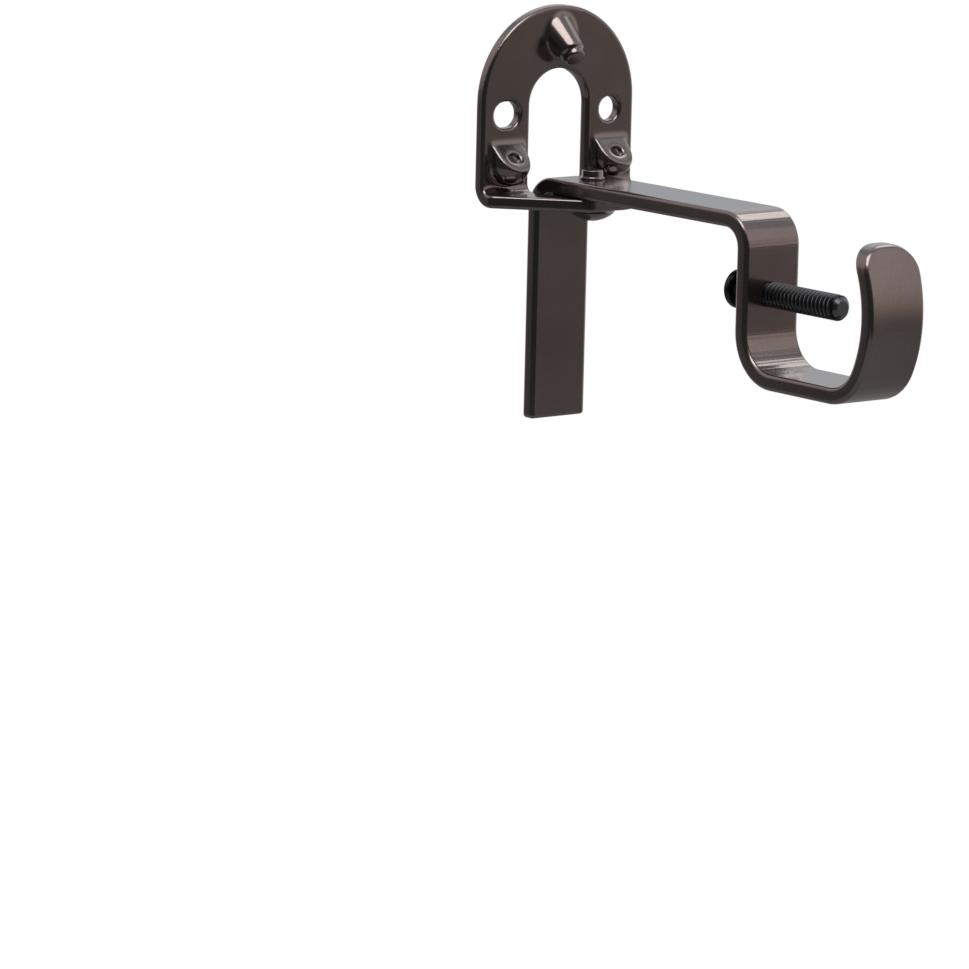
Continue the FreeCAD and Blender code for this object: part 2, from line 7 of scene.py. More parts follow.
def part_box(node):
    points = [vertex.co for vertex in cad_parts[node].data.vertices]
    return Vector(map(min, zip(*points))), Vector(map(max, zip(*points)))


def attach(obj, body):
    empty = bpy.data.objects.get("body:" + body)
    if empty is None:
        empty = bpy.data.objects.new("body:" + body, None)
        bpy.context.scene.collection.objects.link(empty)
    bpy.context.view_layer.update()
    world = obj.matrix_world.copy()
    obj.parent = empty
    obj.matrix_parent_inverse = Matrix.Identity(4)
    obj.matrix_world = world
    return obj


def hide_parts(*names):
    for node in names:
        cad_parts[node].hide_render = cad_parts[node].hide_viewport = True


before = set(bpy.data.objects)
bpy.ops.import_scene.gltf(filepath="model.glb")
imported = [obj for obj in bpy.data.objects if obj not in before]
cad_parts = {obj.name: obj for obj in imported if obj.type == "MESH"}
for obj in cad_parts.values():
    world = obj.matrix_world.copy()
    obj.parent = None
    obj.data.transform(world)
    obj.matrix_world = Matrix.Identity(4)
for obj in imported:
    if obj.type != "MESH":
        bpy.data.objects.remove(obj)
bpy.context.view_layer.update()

bl_info = {
    "name": "Curtain pole bracket",
    "version": (1, 0, 0),
    "blender": (4, 5, 0),
    "location": "View3D > Sidebar > Bracket",
    "description": "Builds the finished look of a painted steel curtain pole bracket",
    "category": "Add Mesh",
}

MM = 0.001

# Where the sheet is pressed, in millimetres: across from the middle, out from the wall and
# up from the screw holes.
SHEET_FACE = 2.7
LUG_SIDES = (9.6, 21.5)
LUG_ENDS = (-18.0, -5.2)
BOSS_SIDE = 6.4
BOSS_FOOT = 12.0

# What the lamps point at, in metres.
BRACKET_MIDDLE = Vector((0, -0.05, -0.025))
FLOOR_SIZE = 1.4
# The camera sees the floor's own glow for the most part, so it stays white, and the rest
# shows the bracket's shadow.
FLOOR_GLOW = 1.16
FLOOR_GLOW_SHARE = 0.85
# The room that the paint mirrors, from its dark to its bright side: place and tone.
ROOM_TONES = (
    (0.37, (0.05, 0.055, 0.058)),
    (0.475, (0.27, 0.25, 0.243)),
    (0.50, (0.31, 0.28, 0.27)),
    (0.54, (0.78, 0.65, 0.58)),
    (0.62, (1.00, 0.90, 0.91)),
    (0.80, (1.00, 0.93, 0.96)),
    (0.90, (0.44, 0.47, 0.51)),
    (0.97, (1.00, 1.00, 1.00)),
)


def length(name, description, millimetres):
    """A size that the user can change, given in millimetres."""
    return bpy.props.FloatProperty(
        name=name, description=description, default=millimetres * MM,
        min=0, precision=5, subtype="DISTANCE", unit="LENGTH")


def colour(name, description, default):
    """A colour that the user can change."""
    return bpy.props.FloatVectorProperty(
        name=name, description=description, default=default,
        min=0, max=1, size=3, subtype="COLOR")


def share(name, description, default):
    """A value from 0 to 1 that the user can change."""
    return bpy.props.FloatProperty(
        name=name, description=description, default=default, min=0, max=1, subtype="FACTOR")


def power(name, description, watts):
    """The power of a lamp that the user can change."""
    return bpy.props.FloatProperty(
        name=name, description=description, default=watts, min=0, unit="POWER")


def place(name, description, metres):
    """A place in the scene that the user can change."""
    return bpy.props.FloatVectorProperty(
        name=name, description=description, default=metres, size=3,
        subtype="TRANSLATION", unit="LENGTH")


def angle(name, description, degrees):
    """An angle that the user can change, given in degrees."""
    return bpy.props.FloatProperty(
        name=name, description=description, default=math.radians(degrees), subtype="ANGLE")


class BracketPlateSizes(bpy.types.PropertyGroup):
    """How softly the pressed wall plate is rounded."""
    grain: length("Surface grid", "Size of the faces that the plate is made of", 0.25)
    edge_passes: bpy.props.IntProperty(
        name="Edge rounding", description="Smoothing passes over the whole plate", default=6, min=0)
    lip_passes: bpy.props.IntProperty(
        name="Lip rounding", description="More smoothing passes over the lugs and the boss",
        default=40, min=0)


class BracketBarSizes(bpy.types.PropertyGroup):
    """The bent flat bar, measured in its side view."""
    width: length("Width", "Width of the flat bar", 16.0)
    thick: length("Thickness", "Thickness of the flat bar", 3.8)
    standoff: length("Stand-off", "Gap between the wall and the hanging leg", 1.8)
    leg_end: length("Leg end", "End of the hanging leg below the screw holes", 72.5)
    shelf: length("Shelf", "Underside of the arm below the screw holes", 18.3)
    bend: length("Bend", "Inside radius of the two upper bends", 4.5)
    reach: length("Reach", "Inner face of the hook's back leg from the wall", 82.4)
    depth: length("Hook depth", "Hook's inner floor below the arm", 31.5)
    gap: length("Hook gap", "Widest inner gap of the hook", 39.2)
    corner: length("Hook corner", "Inside radius of the hook's lower corners", 8.5)
    curl: length("Curl", "Inside radius of the hook's front leg", 27.5)
    tip_rise: length("Tip rise", "Top of the hook's tip above the arm's underside", 1.2)
    tip_round: length("Tip corners", "Radius of the corners at the tip", 7.0)
    edge: length("Edge rounding", "Width of the rounding along the bar's edges", 0.95)
    screw_hole: length("Screw hole", "Radius of the clamp screw's hole", 3.08)
    rivet_hole: length("Rivet hole", "Radius of the rivet's hole", 2.4)
    rivet_reach: length("Rivet reach", "Rivet from the wall", 16.2)


class BracketRivetSizes(bpy.types.PropertyGroup):
    """The rivet that joins the bar and the plate."""
    head_radius: length("Head radius", "Radius of the domed head", 5.4)
    head_height: length("Head height", "Height of the domed head", 3.0)
    head_rim: length("Head rim", "Straight rim of the domed head", 0.8)
    shank_radius: length("Shank radius", "Radius of the shank", 2.3)
    collar_radius: length("Collar radius", "Radius of the collar on the bar", 2.9)
    collar_height: length("Collar height", "Height of the collar", 0.6)
    tail_radius: length("Tail radius", "Radius of the tail above the collar", 2.5)
    tail_height: length("Tail height", "Height of the tail above the collar", 1.6)
    edge: length("Edge rounding", "Rounding of the rims", 0.4)


class BracketScrewSizes(bpy.types.PropertyGroup):
    """The clamp screw through the hook's back leg."""
    radius: length("Thread radius", "Radius over the thread", 3.0)
    groove: length("Thread depth", "Depth of the thread", 0.72)
    pitch: length("Pitch", "Distance between two turns of the thread", 1.35)
    shank: length("Length", "Length under the head", 34.4)
    tip: length("End chamfer", "Chamfer at the end", 1.3)
    head_radius: length("Head radius", "Radius of the head", 4.6)
    head_rim: length("Head rim", "Straight rim of the head", 1.8)
    head_dome: length("Head dome", "Height of the head's dome", 1.3)
    head_edge: length("Head edge", "Rounding of the head's rims", 0.35)
    drive_width: length("Slot width", "Width of the screwdriver slot", 1.1)
    drive_depth: length("Slot depth", "Depth of the screwdriver slot", 1.2)
    backed: length("Backed out", "Gap between the head and the bar", 6.2)
    drop: length("Drop", "Axis of the screw below the arm's underside", 15.0)


class BracketFinish(bpy.types.PropertyGroup):
    """Colours and gloss of the two finishes."""
    paint: colour("Paint", "Dark bronze paint", (0.155, 0.127, 0.121))
    paint_light: colour("Paint, light", "Where the flakes in the paint gather", (0.200, 0.172, 0.163))
    paint_metal: share("Paint metal", "How metallic the paint looks", 0.9)
    paint_rough: share("Paint roughness", "Roughness of the paint", 0.16)
    screw: colour("Screw", "Black finish of the clamp screw", (0.018, 0.020, 0.022))
    # Lighter tone of the thread's crests and end: painted highlight, partly the black rubbed off.
    screw_worn_highlight: colour("Screw, worn", "Crests of the thread", (0.11, 0.118, 0.125))
    screw_rough: share("Screw roughness", "Roughness of the screw's finish", 0.22)


class BracketStage(bpy.types.PropertyGroup):
    """Camera, floor and lights."""
    camera_place: place("Camera place", "Where the camera stands", (-0.87369, -1.10477, 0.16114))
    camera_heading: angle("Heading", "Camera's turn about the upright axis", -39.388)
    camera_dip: angle("Dip", "How far the camera looks down", 7.693)
    camera_roll: angle("Roll", "Camera's turn about its own line of sight", 1.577)
    lens: bpy.props.FloatProperty(
        name="Lens", description="Focal length in millimetres on a 36 mm sensor",
        default=222.9, min=1)
    lens_shift: bpy.props.FloatVectorProperty(
        name="Lens shift", description="Shift of the picture, in widths of the frame",
        default=(-0.178, -0.257), size=2)
    floor_drop: length("Floor", "Floor below the screw holes", 260.0)
    floor_colour: colour("Floor colour", "Pale floor", (0.30, 0.30, 0.30))
    surround: share("Surround", "Brightness of the room round the bracket", 1.0)
    shade_side: share("Shaded side", "Brightness on the room's left, against the right", 0.85)
    bright_way: bpy.props.FloatVectorProperty(
        name="Bright side", description="Way to the brightest part of the room",
        default=(0.62, 0.44, 0.64), size=3, subtype="DIRECTION")
    key_power: power("Key light", "Power of the soft light from above", 8)
    key_size: length("Key light's size", "Width of the soft light from above", 800)
    key_place: place("Key light's place", "Where the upper light hangs", (-0.30, -0.35, 1.15))
    fill_power: power("Fill light", "Power of the soft light from the right", 1.4)
    fill_size: length("Fill light's size", "Width of the soft light from the right", 450)
    fill_place: place("Fill light's place", "Where the right light hangs", (0.79, 0.19, 0.95))


# Shared steps of the modelling

def leave_edit():
    if bpy.context.mode != "OBJECT":
        bpy.ops.object.mode_set(mode="OBJECT")


def pick_nothing():
    leave_edit()
    bpy.ops.object.select_all(action="DESELECT")


def pick(*pieces):
    """Select these objects and no others."""
    pick_nothing()
    for piece in pieces:
        piece.select_set(True)
    bpy.context.view_layer.objects.active = pieces[0]


def edit(piece):
    pick(piece)
    bpy.ops.object.mode_set(mode="EDIT")


def modify(piece, kind, **settings):
    """Add a modifier with these settings and apply it."""
    pick(piece)
    modifier = piece.modifiers.new(kind.title(), kind)
    for key, setting in settings.items():
        setattr(modifier, key, setting)
    bpy.ops.object.modifier_apply(modifier=modifier.name)


def tidy_mesh(piece, merge=0.002 * MM):
    """Close the seams and turn the faces outwards."""
    edit(piece)
    bpy.ops.mesh.select_all(action="SELECT")
    bpy.ops.mesh.remove_doubles(threshold=merge)
    bpy.ops.mesh.normals_make_consistent(inside=False)
    leave_edit()


def settle(piece):
    """Put the object's place into its mesh."""
    pick(piece)
    bpy.ops.object.transform_apply(location=True, rotation=True, scale=True)


def smooth(piece, degrees=35):
    pick(piece)
    bpy.ops.object.shade_smooth_by_angle(angle=math.radians(degrees))


def carve(piece, cutter):
    """Cut the cutter's shape out of the piece."""
    settle(cutter)
    modify(piece, "BOOLEAN", operation="DIFFERENCE", object=cutter, solver="EXACT")
    bpy.data.objects.remove(cutter)


def stack(name, profile):
    """Turned shape on the upright axis, from (radius, height) pairs: a disc that is
    extruded and widened or narrowed step by step."""
    radius, height = profile[0]
    pick_nothing()
    bpy.ops.mesh.primitive_circle_add(
        vertices=96, radius=radius, fill_type="NGON", location=(0, 0, height))
    piece = bpy.context.object
    piece.name = name
    settle(piece)
    edit(piece)
    bpy.ops.mesh.select_all(action="SELECT")
    for wider, higher in profile[1:]:
        bpy.ops.mesh.extrude_region_move(
            TRANSFORM_OT_translate={"value": (0, 0, higher - height)})
        factor = wider / radius
        bpy.ops.transform.resize(value=(factor, factor, 1), center_override=(0, 0, higher))
        radius, height = wider, higher
    leave_edit()
    tidy_mesh(piece)
    return piece


def dome(radius, rise, steps=12):
    """(radius, rise) pairs of a shallow ball cap, from its rim to a small flat at its pole."""
    flat = 0.3
    ball = (radius * radius + rise * rise) / (2 * rise)
    spread = math.asin(radius / ball)
    pairs = []
    for step in range(1, steps + 1):
        angle = spread * (1 - step / (steps + flat))
        pairs.append((ball * math.sin(angle), ball * math.cos(angle) - ball + rise))
    return pairs


def give(piece, material, slot, body, *nodes):
    """Finish and carrying body of a new piece, and the solid that it stands for, which is hidden. The
    slot is not used.
    """
    piece.data.materials.clear()
    piece.data.materials.append(material)
    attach(piece, body)
    if nodes:
        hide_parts(*nodes)


# Finishes

def bronze_paint(finish):
    """Satin bronze paint: fine flakes, a soft orange peel and faint marks across the bar."""
    material = bpy.data.materials.get("satin_bronze")
    if material:
        return material
    material = bpy.data.materials.new("satin_bronze")
    material.use_nodes = True
    tree = material.node_tree
    shader = tree.nodes["Principled BSDF"]
    place = tree.nodes.new("ShaderNodeTexCoord")
    flakes = tree.nodes.new("ShaderNodeTexNoise")
    flakes.inputs["Scale"].default_value = 2600
    flakes.inputs["Detail"].default_value = 3
    blotches = tree.nodes.new("ShaderNodeTexNoise")
    blotches.inputs["Scale"].default_value = 45
    blotches.inputs["Detail"].default_value = 2
    gather = tree.nodes.new("ShaderNodeMath")
    gather.operation = "MULTIPLY"
    ramp = tree.nodes.new("ShaderNodeValToRGB")
    ramp.color_ramp.elements[0].position = 0.12
    ramp.color_ramp.elements[0].color = (*finish.paint, 1)
    ramp.color_ramp.elements[1].position = 0.42
    ramp.color_ramp.elements[1].color = (*finish.paint_light, 1)
    rough = tree.nodes.new("ShaderNodeMapRange")
    rough.inputs["To Min"].default_value = finish.paint_rough - 0.04
    rough.inputs["To Max"].default_value = finish.paint_rough + 0.05
    peel = tree.nodes.new("ShaderNodeTexNoise")
    peel.inputs["Scale"].default_value = 900
    peel.inputs["Detail"].default_value = 2
    stretch = tree.nodes.new("ShaderNodeMapping")
    stretch.inputs["Scale"].default_value = (14, 1000, 1000)
    marks = tree.nodes.new("ShaderNodeTexNoise")
    marks.inputs["Scale"].default_value = 1
    marks.inputs["Detail"].default_value = 2
    peel_bump = tree.nodes.new("ShaderNodeBump")
    peel_bump.inputs["Strength"].default_value = 0.05
    peel_bump.inputs["Distance"].default_value = 0.03 * MM
    mark_bump = tree.nodes.new("ShaderNodeBump")
    mark_bump.inputs["Distance"].default_value = 0.16 * MM
    bent = tree.nodes.new("ShaderNodeAttribute")
    bent.attribute_name = "bend_marks"
    link = tree.links.new
    for texture in (flakes, blotches, peel):
        link(place.outputs["Object"], texture.inputs["Vector"])
    link(place.outputs["Object"], stretch.inputs["Vector"])
    link(stretch.outputs["Vector"], marks.inputs["Vector"])
    link(flakes.outputs["Fac"], gather.inputs[0])
    link(blotches.outputs["Fac"], gather.inputs[1])
    link(gather.outputs["Value"], ramp.inputs["Fac"])
    link(ramp.outputs["Color"], shader.inputs["Base Color"])
    link(blotches.outputs["Fac"], rough.inputs["Value"])
    link(rough.outputs["Result"], shader.inputs["Roughness"])
    link(peel.outputs["Fac"], peel_bump.inputs["Height"])
    link(marks.outputs["Fac"], mark_bump.inputs["Height"])
    link(bent.outputs["Fac"], mark_bump.inputs["Strength"])
    link(peel_bump.outputs["Normal"], mark_bump.inputs["Normal"])
    link(mark_bump.outputs["Normal"], shader.inputs["Normal"])
    shader.inputs["Metallic"].default_value = finish.paint_metal
    shader.inputs["Coat Weight"].default_value = 0.25
    shader.inputs["Coat Roughness"].default_value = 0.07
    return material


def dark_screw(finish):
    """Black oxide on steel, slightly uneven and black in its grooves, with a lighter tone on the
    thread's crests and its end that is painted highlight and partly the black rubbed off."""
    material = bpy.data.materials.new("blackened_steel")
    material.use_nodes = True
    tree = material.node_tree
    shader = tree.nodes["Principled BSDF"]
    place = tree.nodes.new("ShaderNodeTexCoord")
    cloud = tree.nodes.new("ShaderNodeTexNoise")
    cloud.inputs["Scale"].default_value = 700
    cloud.inputs["Detail"].default_value = 3
    ramp = tree.nodes.new("ShaderNodeValToRGB")
    ramp.color_ramp.elements[0].position = 0.3
    ramp.color_ramp.elements[0].color = (*finish.screw, 1)
    ramp.color_ramp.elements[1].position = 0.75
    ramp.color_ramp.elements[1].color = (*(1.6 * part for part in finish.screw), 1)
    crest = tree.nodes.new("ShaderNodeAttribute")
    crest.attribute_name = "thread_crest"
    # Crests and end take the lighter tone: painted highlight, partly the black rubbed off.
    wear_and_highlight = tree.nodes.new("ShaderNodeMix")
    wear_and_highlight.data_type = "RGBA"
    wear_and_highlight.inputs["B"].default_value = (*finish.screw_worn_highlight, 1)
    rough = tree.nodes.new("ShaderNodeMapRange")
    rough.inputs["To Min"].default_value = finish.screw_rough - 0.06
    rough.inputs["To Max"].default_value = finish.screw_rough + 0.10
    bump = tree.nodes.new("ShaderNodeBump")
    bump.inputs["Strength"].default_value = 0.15
    bump.inputs["Distance"].default_value = 0.02 * MM
    link = tree.links.new
    link(place.outputs["Object"], cloud.inputs["Vector"])
    link(cloud.outputs["Fac"], ramp.inputs["Fac"])
    link(ramp.outputs["Color"], wear_and_highlight.inputs["A"])
    link(crest.outputs["Fac"], wear_and_highlight.inputs["Factor"])
    link(wear_and_highlight.outputs["Result"], shader.inputs["Base Color"])
    link(cloud.outputs["Fac"], rough.inputs["Value"])
    link(rough.outputs["Result"], shader.inputs["Roughness"])
    link(cloud.outputs["Fac"], bump.inputs["Height"])
    link(bump.outputs["Normal"], shader.inputs["Normal"])
    shader.inputs["Metallic"].default_value = 0.9
    return material


# Pieces

class BRACKET_OT_wall_plate(bpy.types.Operator):
    """Round the pressed wall plate's edges, lips and roots"""
    bl_idname = "bracket.wall_plate"
    bl_label = "Wall plate"

    def execute(self, context):
        sizes = context.scene.bracket_plate
        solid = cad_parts["wall_plate"]
        piece = bpy.data.objects.new("rounded_wall_plate", solid.data.copy())
        context.scene.collection.objects.link(piece)
        tidy_mesh(piece, 0.01 * MM)
        modify(piece, "REMESH", mode="VOXEL", voxel_size=sizes.grain, adaptivity=0,
               use_smooth_shade=True)
        soft = piece.vertex_groups.new(name="pressed")
        for vertex in piece.data.vertices:
            softness = pressed(vertex.co)
            if softness:
                soft.add([vertex.index], softness, "REPLACE")
        modify(piece, "SMOOTH", factor=0.5, iterations=sizes.edge_passes)
        modify(piece, "SMOOTH", factor=0.5, iterations=sizes.lip_passes, vertex_group="pressed")
        piece.vertex_groups.clear()
        give(piece, bronze_paint(context.scene.bracket_finish), "bronze_paint", "bracket",
             "wall_plate")
        return {"FINISHED"}


def pressed(spot):
    """How much the pressing has softened the sheet here: fully on the lugs, less on the
    boss and not elsewhere."""
    across, out, up = abs(spot.x) / MM, -spot.y / MM, spot.z / MM
    if out < SHEET_FACE:
        return 0
    if LUG_SIDES[0] < across < LUG_SIDES[1] and LUG_ENDS[0] < up < LUG_ENDS[1]:
        return 1
    return 0.4 if across < BOSS_SIDE and up > BOSS_FOOT else 0


class BRACKET_OT_hook_bar(bpy.types.Operator):
    """Cut the flat bar, round its edges and bend it: hanging leg, arm and hook"""
    bl_idname = "bracket.hook_bar"
    bl_label = "Hook bar"

    def execute(self, context):
        sizes = context.scene.bracket_bar
        thick = sizes.thick
        screw_drop = context.scene.bracket_screw.drop
        path, stations = bar_path(sizes, screw_drop)
        piece = flat_blank(sizes, stations[-1])
        edit(piece)
        for station in stations[1:-1]:
            bpy.ops.mesh.select_all(action="SELECT")
            bpy.ops.mesh.bisect(plane_co=(0, station, 0), plane_no=(0, 1, 0))
        leave_edit()
        for vertex in piece.data.vertices:
            vertex.co = bend(vertex.co, path)
        tidy_mesh(piece)
        drill(piece, sizes.screw_hole, (0, -sizes.reach + thick / 2, -sizes.shelf - screw_drop),
              (math.pi / 2, 0, 0), 3 * thick)
        drill(piece, sizes.rivet_hole, (0, -sizes.rivet_reach, -sizes.shelf + thick / 2),
              (0, 0, 0), 3 * thick)
        smooth(piece)
        modify(piece, "WEIGHTED_NORMAL", keep_sharp=True)
        mark_bends(piece, path, sizes.width / 2 - sizes.edge)
        give(piece, bronze_paint(context.scene.bracket_finish), "bronze_paint", "bracket",
             "hook_bar")
        return {"FINISHED"}


def bar_path(sizes, screw_drop):
    """The bar's side view as a chain of stretches, each with its start along the bar's
    middle, and the places along it where the flat blank is divided."""
    thick, inside = sizes.thick, sizes.bend
    level = -sizes.shelf - inside
    floor = -sizes.shelf - sizes.depth + sizes.corner
    rear = -(sizes.standoff + thick + inside)
    front = -(sizes.reach - thick - inside)
    back = -(sizes.reach + sizes.corner)
    loop = (-(sizes.reach + sizes.gap - sizes.curl), -sizes.shelf - screw_drop)
    dip = math.asin((loop[1] - floor) / (sizes.curl - sizes.corner))
    fore = loop[0] - (sizes.curl - sizes.corner) * math.cos(dip)
    upper, lower = inside + thick / 2, sizes.corner + thick / 2
    wide = sizes.curl + thick / 2
    rise = -sizes.shelf + sizes.tip_rise - loop[1]
    quarter = math.pi / 2
    # A straight stretch has its start point and heading, a bend its centre, the angle at
    # which it starts, its turn and the radius of its middle.
    chain = [
        ("line", (-sizes.standoff - thick / 2, -sizes.leg_end), (0, 1), level + sizes.leg_end),
        ("bend", (rear, level), 0, quarter, upper, 16),
        ("line", (rear, level + upper), (-1, 0), rear - front),
        ("bend", (front, level), quarter, quarter, upper, 16),
        ("line", (front - upper, level), (0, -1), level - floor),
        ("bend", (back, floor), 0, -quarter, lower, 20),
        ("line", (back, floor - lower), (-1, 0), back - fore),
        ("bend", (fore, floor), -quarter, dip - quarter, lower, 18),
        ("tip", loop, math.pi + dip, -(dip + math.asin(rise / wide)), wide, 28),
    ]
    path, stations, start = [], [0], 0
    for stretch in chain:
        if stretch[0] == "line":
            span, parts = stretch[3], 1
        else:
            span, parts = abs(stretch[3]) * stretch[4], stretch[5]
        path.append((start, stretch))
        stations += [start + span * part / parts for part in range(1, parts + 1)]
        start += span
    return path, stations


def flat_blank(sizes, total):
    """The straight bar along +Y with its two round corners and rounded edges. Its face
    towards the wall and the hook's inside looks down."""
    pick_nothing()
    bpy.ops.mesh.primitive_cube_add(size=1, location=(0, total / 2, 0))
    piece = bpy.context.object
    piece.name = "bent_hook_bar"
    piece.scale = (sizes.width, total, sizes.thick)
    settle(piece)
    edit(piece)
    bpy.ops.mesh.select_mode(type="EDGE")
    bpy.ops.mesh.select_all(action="DESELECT")
    leave_edit()
    corners = {vertex.index for vertex in piece.data.vertices if vertex.co.y > total / 2}
    for edge in piece.data.edges:
        one, two = edge.vertices
        upright = abs(piece.data.vertices[one].co.x - piece.data.vertices[two].co.x) < MM
        edge.select = upright and one in corners and two in corners
    edit(piece)
    bpy.ops.mesh.bevel(offset=sizes.tip_round, segments=18, affect="EDGES")
    bpy.ops.mesh.select_mode(type="VERT")
    leave_edit()
    modify(piece, "BEVEL", width=sizes.edge, segments=5, limit_method="ANGLE",
           angle_limit=math.radians(40), use_clamp_overlap=False)
    return piece


def bend(spot, path):
    """Where a point of the flat blank comes to lie on the bent bar."""
    start, stretch = max((entry for entry in path if entry[0] <= spot.y + 1e-9),
                         key=lambda entry: entry[0])
    along = spot.y - start
    if stretch[0] == "line":
        (y, z), (ahead_y, ahead_z) = stretch[1], stretch[2]
        # Depth counts to the left of the way ahead.
        return Vector((spot.x, y + ahead_y * along - ahead_z * spot.z,
                       z + ahead_z * along + ahead_y * spot.z))
    centre, begin, turn, middle = stretch[1:5]
    side = 1 if turn > 0 else -1
    radius = middle - side * spot.z
    if stretch[0] == "tip":
        # The tip's end is level, so the inner face turns further than the outer one.
        rise = middle * math.sin(-turn - (begin - math.pi))
        turn = -(begin - math.pi + math.asin(rise / radius))
    angle = begin + turn * along / (abs(stretch[3]) * middle)
    return Vector((
        spot.x, centre[0] + radius * math.cos(angle), centre[1] + radius * math.sin(angle)))


def mark_bends(piece, path, half):
    """Note for the finish which points of the bar's broad faces, half a width to each side
    of its middle, lie on a bend, where the bar was drawn over a roller."""
    reach, margin = 1.6, math.radians(2.3)
    bends = [stretch for _, stretch in path if stretch[0] == "bend"]
    marks = piece.data.attributes.new("bend_marks", "FLOAT", "POINT")
    for vertex in piece.data.vertices:
        if abs(vertex.co.x) > half + 0.1 * MM:
            continue
        inside = False
        for _, (y, z), begin, turn, middle, _ in bends:
            across, up = vertex.co.y - y, vertex.co.z - z
            if math.hypot(across, up) > reach * middle:
                continue
            passed = (math.atan2(up, across) - begin) * math.copysign(1, turn)
            passed = (passed + math.pi) % (2 * math.pi) - math.pi
            inside = inside or margin < passed < abs(turn) - margin
        marks.data[vertex.index].value = 1 if inside else 0


def drill(piece, radius, place, turn, depth):
    pick_nothing()
    bpy.ops.mesh.primitive_cylinder_add(
        vertices=96, radius=radius, depth=depth, location=place, rotation=turn)
    carve(piece, bpy.context.object)


class BRACKET_OT_rivet(bpy.types.Operator):
    """Turn the rivet: domed head below, collar and tail on top"""
    bl_idname = "bracket.rivet"
    bl_label = "Rivet"

    def execute(self, context):
        sizes = context.scene.bracket_rivet
        bar = context.scene.bracket_bar
        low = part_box("rivet")[0]
        under = low.z + sizes.head_height
        over = -bar.shelf + bar.thick
        cap = dome(sizes.head_radius, sizes.head_height - sizes.head_rim)
        profile = [(radius, under - sizes.head_rim - rise) for radius, rise in reversed(cap)]
        profile += [
            (sizes.head_radius, under - sizes.head_rim),
            (sizes.head_radius, under),
            (sizes.shank_radius, under),
            (sizes.shank_radius, over),
            (sizes.collar_radius, over),
            (sizes.collar_radius, over + sizes.collar_height),
            (sizes.tail_radius, over + sizes.collar_height),
            (sizes.tail_radius, over + sizes.collar_height + sizes.tail_height),
        ]
        piece = stack("turned_rivet", profile)
        piece.location = (0, -bar.rivet_reach, 0)
        settle(piece)
        modify(piece, "BEVEL", width=sizes.edge, segments=4, limit_method="ANGLE",
               angle_limit=math.radians(50), use_clamp_overlap=True)
        smooth(piece)
        give(piece, bronze_paint(context.scene.bracket_finish), "bronze_paint", "bracket",
             "rivet")
        return {"FINISHED"}


